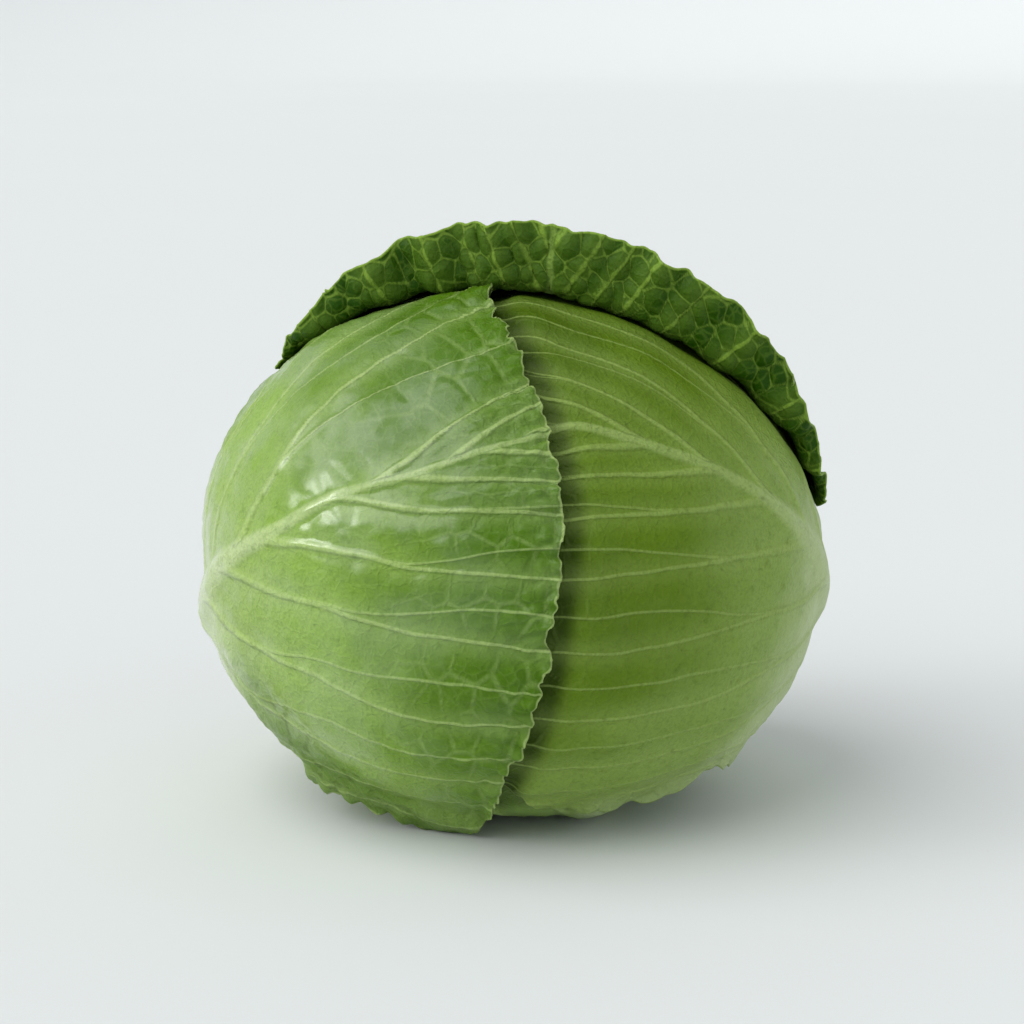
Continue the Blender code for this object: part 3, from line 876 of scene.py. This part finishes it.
def leaf_finish(
    name, base, young, full, deep, vein, vein_show=0.8,
    net_show=0.22, bloom=0.35, gloss=0.16, shine=0.16, pale_reach=60, change=1.0,
    margin_green=0.0,
):
    """Waxy leaf: pale at its base, greener outwards, with pale veins, a fine network and painted
    shade where outer leaves cover it.
    """
    recipe = Recipe(name, {**LEAF_SHEEN, "Specular IOR Level": shine})
    from_base = recipe.attribute("from_base")
    margin = recipe.attribute("margin")
    bare = recipe.attribute("bare")
    patches = recipe.noise(26 * MM, 4.0)
    drift = recipe.noise(9 * MM, 3.0)
    mottle = recipe.noise(2.2 * MM, 4.0, 0.65)
    travel = recipe.attribute("travel").least(70.0)
    fade = from_base + 0.28 * travel + 26 * (patches - 0.5) + 8 * (drift - 0.5)
    colour = recipe.mix(base, young, recipe.ease(fade, pale_reach - 14, pale_reach + 14))
    greening = recipe.ease(fade, pale_reach + 8 * change, pale_reach + 38 * change)
    colour = recipe.mix(colour, full, greening)
    patchy = fade + 30 * (patches - 0.5)
    depth_share = recipe.ease(patchy, pale_reach + 34 * change, pale_reach + 72 * change)
    colour = recipe.mix(colour, deep, 0.9 * depth_share)
    colour = recipe.mix(colour, deep, margin_green * recipe.ease(margin, 8, 44, 1.0, 0.0))
    # Painted shade: the leaf is darkened where an outer leaf covers it and just past that leaf's
    # margin, standing in for the shadow the outer leaf casts.
    painted_shade = tuple(0.45 * part for part in deep)
    colour = recipe.mix(colour, painted_shade, recipe.ease(bare, 0.15, 1.0, 0.92, 0.0))

    phase, pitch = recipe.attribute("phase"), recipe.attribute("pitch")
    width = recipe.attribute("vein_width")
    part = phase.part()
    to_vein = part.least(1 - part) * pitch
    to_fork = (part - recipe.attribute("fork")).size() * pitch
    soft_vein = recipe.ease(to_vein / width, 0.35, 1.5, 1.0, 0.0)
    soft_fork = recipe.ease(to_fork / width, 0.3, 1.15, 0.8, 0.0)
    halo = recipe.ease(to_vein, 0.4, 7.5, 0.34, 0.0)
    rib = recipe.ease(recipe.attribute("rib"), 0.35, 1.25, 1.0, 0.0)
    near = recipe.ease(margin, 12, 42, 1.0, 0.4)
    near = near * recipe.ease(from_base, 20, 75, 0.45, 1.0)
    net = recipe.ease(recipe.attribute("net") / near, 0.05, 0.85, 1.0, 0.0) * near
    fine_walls = recipe.honeycomb(3.0 * MM)
    fine = recipe.ease(fine_walls, 0.0, 0.16, 1.0, 0.0)
    clear = recipe.ease(recipe.attribute("travel"), 1.1, 3.2)
    side = soft_vein.most(soft_fork) * clear
    marks = (vein_show * side).most(net_show * net).most(0.28 * net_show * fine)
    marks = marks.most(halo * vein_show * clear)
    marks = marks.most(rib * recipe.ease(from_base, 60, 150, 1.0, 0.7))
    at_base = recipe.ease(fade, pale_reach - 38, pale_reach - 4)
    vein_colour = recipe.mix((0.56, 0.65, 0.38), vein, at_base)
    colour = recipe.mix(colour, vein_colour, marks.least(1.0) * 0.8)
    colour = recipe.mix(colour, base, rib * recipe.ease(from_base, 100, 150, 0.9, 0.1))
    colour = recipe.mix(colour, vein, recipe.ease(margin, 0.1, 0.55, 0.8, 0.0))
    waxy = recipe.ease(recipe.noise(38 * MM, 3.0), 0.45, 0.7) * recipe.ease(margin, 8, 34)
    colour = recipe.mix(colour, (0.42, 0.55, 0.28), bloom * 0.28 * waxy)
    grain = recipe.noise(0.7 * MM, 2.0)
    freckled = 0.35 * recipe.ease(mottle, 0.5, 0.78) + 0.2 * recipe.ease(grain, 0.42, 0.7)
    freckled = freckled * recipe.ease(fade, pale_reach - 20, pale_reach + 25, 0.3, 1.0)
    colour = recipe.mix(colour, deep, freckled)

    roughness = 0.30 + 0.10 * drift + 0.08 * waxy + 0.12 * mottle
    height = 0.32 * side * width + 0.16 * net + 0.09 * fine + 0.22 * mottle + 0.19 * grain
    polish = recipe.ease(recipe.noise(17 * MM, 4.0), 0.38, 0.62, 0.15, 1.0)
    polish = polish * recipe.ease(margin, 4, 34, 0.3, 1.0) * recipe.ease(bare, 0.3, 1.0)
    return recipe.finish(colour, roughness, height, coat=gloss * polish)


def stem_finish():
    """Cut stem: pale pith, a ring of strings, a green skin and a dried, browned cut edge."""
    recipe = Recipe("cut stem", {"Subsurface Weight": 0.1, "Subsurface Scale": 0.0012})
    away = recipe.attribute("from_axis")
    down = recipe.attribute("from_cut")
    blotch = recipe.noise(5 * MM, 5.0, 0.6)
    strings = recipe.noise(0.9 * MM, 3.0, 0.7)
    on_cut = recipe.ease(down, 0.6, 2.2, 1.0, 0.0)
    pith = recipe.mix((0.60, 0.60, 0.42), (0.44, 0.50, 0.24), recipe.ease(away, 3.0, 8.5))
    ring = recipe.ease((away - 9.6).size(), 0.3, 1.5, 1.0, 0.0)
    dots = recipe.ease(recipe.honeycomb(1.6 * MM), 0.1, 0.4)
    pith = recipe.mix(pith, (0.62, 0.56, 0.34), 0.55 * ring * dots)
    dried = recipe.ease(blotch + 0.02 * away, 0.55, 0.85)
    pith = recipe.mix(pith, (0.30, 0.19, 0.08), 0.75 * dried)
    skin = recipe.mix((0.46, 0.55, 0.27), (0.27, 0.38, 0.11), recipe.ease(down, 3.0, 12.0))
    lines = recipe.noise(1.1 * MM, 3.0, 0.6)
    skin = recipe.mix(skin, (0.58, 0.58, 0.36), 0.6 * recipe.ease(lines, 0.5, 0.68))
    skin = recipe.mix(skin, (0.28, 0.17, 0.07), 0.8 * recipe.ease(blotch, 0.62, 0.8))
    colour = recipe.mix(skin, pith, on_cut)
    roughness = 0.56 + 0.22 * strings
    height = 0.5 * strings + 0.35 * blotch + 0.2 * dots * on_cut
    return recipe.finish(colour, roughness, height)


def heart_finish():
    """The inner leaves: pale yellow-green, satin, with faint veins."""
    recipe = Recipe("inner leaves", LEAF_SHEEN)
    patches = recipe.noise(22 * MM, 4.0)
    fine = recipe.ease(recipe.honeycomb(4.0 * MM), 0.0, 0.14, 1.0, 0.0)
    broad = recipe.ease(recipe.honeycomb(15.0 * MM), 0.0, 0.06, 1.0, 0.0)
    colour = recipe.mix((0.42, 0.50, 0.20), (0.26, 0.40, 0.10), recipe.ease(patches, 0.35, 0.7))
    colour = recipe.mix(colour, (0.52, 0.58, 0.30), (0.35 * fine).most(0.7 * broad))
    roughness = 0.42 + 0.12 * patches
    return recipe.finish(colour, roughness, 0.12 * fine + 0.3 * broad)


def stage_finish(colour):
    """Matte paper of the studio floor, with a barely visible tooth."""
    recipe = Recipe("studio paper", {"Specular IOR Level": 0.2})
    tooth = recipe.noise(1.5 * MM, 2.0)
    cloud = recipe.noise(0.8, 2.0)
    darker = [0.985 * channel for channel in colour]
    paper = recipe.mix(tuple(colour), tuple(darker), cloud)
    return recipe.finish(paper, 0.8 + 0.1 * tooth, 0.02 * tooth)


class CabbageLeafSettings(bpy.types.PropertyGroup):
    leaf_thickness: FloatProperty(
        name="Leaf thickness", description="Thickness of a leaf between its veins",
        default=1.0 * MM, min=0.3 * MM, unit="LENGTH",
    )
    leaf_gap: FloatProperty(
        name="Leaf gap", description="Free space between one leaf and the next",
        default=0.8 * MM, min=0.2 * MM, unit="LENGTH",
    )
    pale: FloatVectorProperty(
        name="Leaf base", description="Colour of a leaf near the stem",
        default=(0.47, 0.57, 0.29), size=3, subtype="COLOR",
    )
    vein: FloatVectorProperty(
        name="Veins", description="Colour of the veins of the light leaves",
        default=(0.40, 0.53, 0.185), size=3, subtype="COLOR",
    )
    left_green: FloatVectorProperty(
        name="Left leaf", description="Main green of the front left leaf",
        default=(0.205, 0.350, 0.034), size=3, subtype="COLOR",
    )
    right_green: FloatVectorProperty(
        name="Right leaf", description="Main green of the front right leaf",
        default=(0.103, 0.184, 0.007), size=3, subtype="COLOR",
    )
    outer_green: FloatVectorProperty(
        name="Outer leaf", description="Main green of the dark outer leaf with the brim",
        default=(0.045, 0.124, 0.001), size=3, subtype="COLOR",
    )
    inner_green: FloatVectorProperty(
        name="Shoulder leaves", description="Main green of the leaves under the outer ones",
        default=(0.235, 0.360, 0.080), size=3, subtype="COLOR",
    )


class CabbageStageSettings(bpy.types.PropertyGroup):
    paper: FloatVectorProperty(
        name="Studio paper",
        description="Colour of the floor and the wall that it turns up into",
        default=(0.710, 0.736, 0.742), size=3, subtype="COLOR",
    )
    key_strength: FloatProperty(
        name="Key light", description="Strength of the broad soft light at the upper left",
        default=1.98, min=0.0,
    )
    sky: FloatProperty(
        name="Room light", description="Strength of the even light from all round",
        default=0.60, min=0.0,
    )
    lens: FloatProperty(
        name="Lens", description="Focal length of the camera, in millimetres", default=85.0,
        min=20.0, unit="CAMERA",
    )
    camera_height: FloatProperty(
        name="Camera elevation", description="Angle of the camera above the horizon",
        default=math.radians(12.0), subtype="ANGLE",
    )


class CABBAGE_OT_front_leaves(bpy.types.Operator):
    """Model the two light leaves that wrap the front of the head"""

    bl_idname = "cabbage.front_leaves"
    bl_label = "Front leaves"

    def execute(self, context):
        settings = context.scene.cabbage_leaves
        left = leaf_finish(
            "front left leaf",
            base=settings.pale, young=(0.285, 0.415, 0.105), full=settings.left_green,
            deep=(0.062, 0.148, 0.002), vein=settings.vein, bloom=0.6, margin_green=0.7,
            net_show=0.3, gloss=1.0, shine=0.12, pale_reach=98,
        )
        right = leaf_finish(
            "front right leaf",
            base=settings.pale, young=(0.230, 0.345, 0.068), full=settings.right_green,
            deep=(0.050, 0.098, 0.001), vein=(0.320, 0.440, 0.120), vein_show=0.7,
            net_show=0.15, bloom=0.12, gloss=0.1, shine=0.1, pale_reach=119, change=1.3,
        )
        add_leaf(LEFT_LEAF, LEAVES[:1], settings, left)
        add_leaf(RIGHT_LEAF, LEAVES[:2], settings, right)
        return {"FINISHED"}


class CABBAGE_OT_outer_leaf(bpy.types.Operator):
    """Model the dark outer leaf, whose margin turns away from the head as a brim"""

    bl_idname = "cabbage.outer_leaf"
    bl_label = "Outer leaf"

    def execute(self, context):
        settings = context.scene.cabbage_leaves
        dark = leaf_finish(
            "outer back leaf",
            base=(0.34, 0.46, 0.17), young=(0.12, 0.21, 0.035), full=settings.outer_green,
            deep=(0.015, 0.058, 0.0005), vein=(0.240, 0.380, 0.050), vein_show=0.9,
            net_show=0.78, bloom=0.1, gloss=0.05, shine=0.12, pale_reach=40,
        )
        add_leaf(OUTER_LEAF, [], settings, dark)
        return {"FINISHED"}


class CABBAGE_OT_inner_leaves(bpy.types.Operator):
    """Model the base leaf, the shoulder leaves and the folded leaves inside"""

    bl_idname = "cabbage.inner_leaves"
    bl_label = "Inner leaves"

    def execute(self, context):
        settings = context.scene.cabbage_leaves
        for place, leaf in enumerate(LEAVES[3:], start=3):
            light = leaf_finish(
                leaf.node.replace("_", " "),
                base=settings.pale, young=(0.29, 0.42, 0.11), full=settings.inner_green,
                deep=(0.120, 0.225, 0.024), vein=settings.vein, pale_reach=48,
            )
            add_leaf(leaf, LEAVES[:place], settings, light)
        add_heart(settings, heart_finish())
        return {"FINISHED"}


class CABBAGE_OT_stem(bpy.types.Operator):
    """Model the cut stem"""

    bl_idname = "cabbage.stem"
    bl_label = "Stem"

    def execute(self, context):
        add_stem(stem_finish())
        return {"FINISHED"}


class CABBAGE_OT_stage(bpy.types.Operator):
    """Make the studio floor, the lights and the camera"""

    bl_idname = "cabbage.stage"
    bl_label = "Stage"

    def execute(self, context):
        settings = context.scene.cabbage_stage
        add_floor(settings)
        add_lights(settings)
        add_camera(settings)
        return {"FINISHED"}


def add_floor(settings):
    """A round floor that turns up into a low wall, metres behind the head."""
    profile = [(0, 0), (FLOOR_RADIUS, 0)]
    bend_steps = 12
    for step in range(1, bend_steps + 1):
        turn = math.pi / 2 * step / bend_steps
        out, up = FLOOR_BEND * math.sin(turn), FLOOR_BEND * (1 - math.cos(turn))
        profile.append((FLOOR_RADIUS + out, up))
    profile.append((FLOOR_RADIUS + FLOOR_BEND, FLOOR_BEND + WALL_HEIGHT))
    builder = spin_profile(profile, steps=96)
    made = add_mesh("studio_floor", builder, stage_finish(settings.paper))


def add_sun(name, towards_light, strength, spread, colour):
    """A far, broad soft light whose strength is the same all over the floor."""
    lamp = bpy.data.lights.new(name, "SUN")
    lamp.angle = math.radians(spread)
    lamp.energy = strength
    lamp.color = colour
    made = bpy.data.objects.new(name, lamp)
    made.rotation_euler = Vector(towards_light).to_track_quat("Z", "Y").to_euler()
    bpy.context.scene.collection.objects.link(made)


def add_lights(settings):
    """A broad soft key light at the upper left, a weak one in front, and even room light."""
    for name, towards_light, share, spread, colour in LIGHTS:
        add_sun(name, towards_light, share * settings.key_strength, spread, colour)
    world = bpy.data.worlds.new("room")
    world.use_nodes = True
    background = world.node_tree.nodes["Background"]
    background.inputs["Color"].default_value = (0.96, 0.985, 1.0, 1)
    background.inputs["Strength"].default_value = settings.sky
    bpy.context.scene.world = world


def add_camera(settings):
    """A camera low in front of the head."""
    data = bpy.data.cameras.new("camera")
    data.lens = settings.lens
    data.sensor_width = SENSOR_WIDTH
    data.shift_y = CAMERA_SHIFT
    distance = FRAME_WIDTH * settings.lens / data.sensor_width
    back = Vector((0, -math.cos(settings.camera_height), math.sin(settings.camera_height)))
    made = bpy.data.objects.new("camera", data)
    made.location = Vector(CENTRE) + back * distance
    made.rotation_euler = back.to_track_quat("Z", "Y").to_euler()
    bpy.context.scene.collection.objects.link(made)
    bpy.context.scene.camera = made
    bpy.context.scene.view_settings.view_transform = "Standard"


class CABBAGE_PT_panel(bpy.types.Panel):
    """Sizes, colours and steps of the cabbage head"""

    bl_idname = "CABBAGE_PT_panel"
    bl_label = "Cabbage Head"
    bl_space_type = "VIEW_3D"
    bl_region_type = "UI"
    bl_category = "Cabbage"

    def draw(self, context):
        layout = self.layout
        for settings in (context.scene.cabbage_leaves, context.scene.cabbage_stage):
            box = layout.box()
            for name in settings.__annotations__:
                box.prop(settings, name)
        for step in STEPS:
            layout.operator(step.bl_idname)


STEPS = (
    CABBAGE_OT_front_leaves, CABBAGE_OT_outer_leaf, CABBAGE_OT_inner_leaves, CABBAGE_OT_stem,
    CABBAGE_OT_stage,
)
CLASSES = (CabbageLeafSettings, CabbageStageSettings, *STEPS, CABBAGE_PT_panel)


def register():
    for made in CLASSES:
        bpy.utils.register_class(made)
    bpy.types.Scene.cabbage_leaves = PointerProperty(type=CabbageLeafSettings)
    bpy.types.Scene.cabbage_stage = PointerProperty(type=CabbageStageSettings)


def unregister():
    del bpy.types.Scene.cabbage_stage
    del bpy.types.Scene.cabbage_leaves
    for made in reversed(CLASSES):
        bpy.utils.unregister_class(made)


def main():
    register()
    bpy.ops.cabbage.stage()
    bpy.ops.cabbage.outer_leaf()
    bpy.ops.cabbage.front_leaves()
    bpy.ops.cabbage.inner_leaves()
    bpy.ops.cabbage.stem()


if __name__ == "__main__":
    main()
